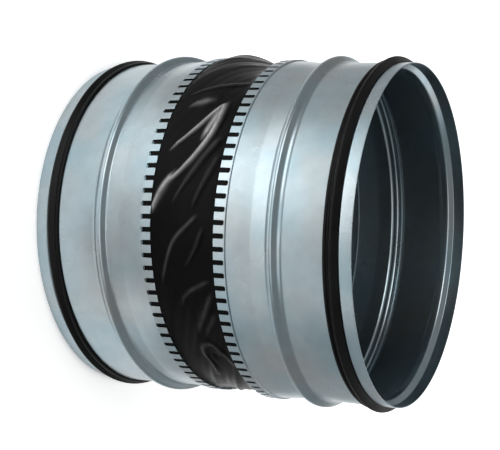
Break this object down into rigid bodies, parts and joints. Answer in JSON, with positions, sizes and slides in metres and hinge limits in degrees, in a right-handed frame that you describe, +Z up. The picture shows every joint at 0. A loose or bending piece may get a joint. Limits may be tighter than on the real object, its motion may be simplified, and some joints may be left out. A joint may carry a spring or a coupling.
{
  "type": "flexible duct connector",
  "caption": "Two round galvanised steel collars with lip seals and stop beads, joined by a short slack sleeve of black coated cloth held in toothed folds.",
  "frame": {"origin": "centre of the inlet collar's rim, on that collar's axis, at the height of the surface it stands on", "axes": "+Z up the inlet collar's axis towards the outlet; the outlet collar leans towards +X by the flex angle, and Y is the axis of that lean"},
  "size_m": [0.2124, 0.2096, 0.1986],
  "materials": {
    "galvanised_steel": "satin galvanised sheet with a faint spangle",
    "seal_rubber": "moulded black rubber",
    "coated_cloth": "glossy coated woven cloth"
  },
  "bodies": {
    "inlet": {"inlet_collar": "galvanised_steel", "inlet_gasket": "seal_rubber"},
    "sleeve": {"fabric_sleeve": "coated_cloth"},
    "outlet": {"outlet_collar": "galvanised_steel", "outlet_gasket": "seal_rubber"}
  },
  "joints": [
    {"name": "sleeve_travel", "type": "slide", "parent": "inlet", "child": "sleeve", "axis": [0, 0, 1], "range_m": [-0.0148, 0.001], "deforming": ["fabric_sleeve"]},
    {"name": "outlet_lean", "type": "hinge", "parent": "sleeve", "child": "outlet", "pos_m": [0, -0.0024, 0.0961], "axis": [0, 1, 0], "range_deg": [-10.8, 3.2]}
  ]
}
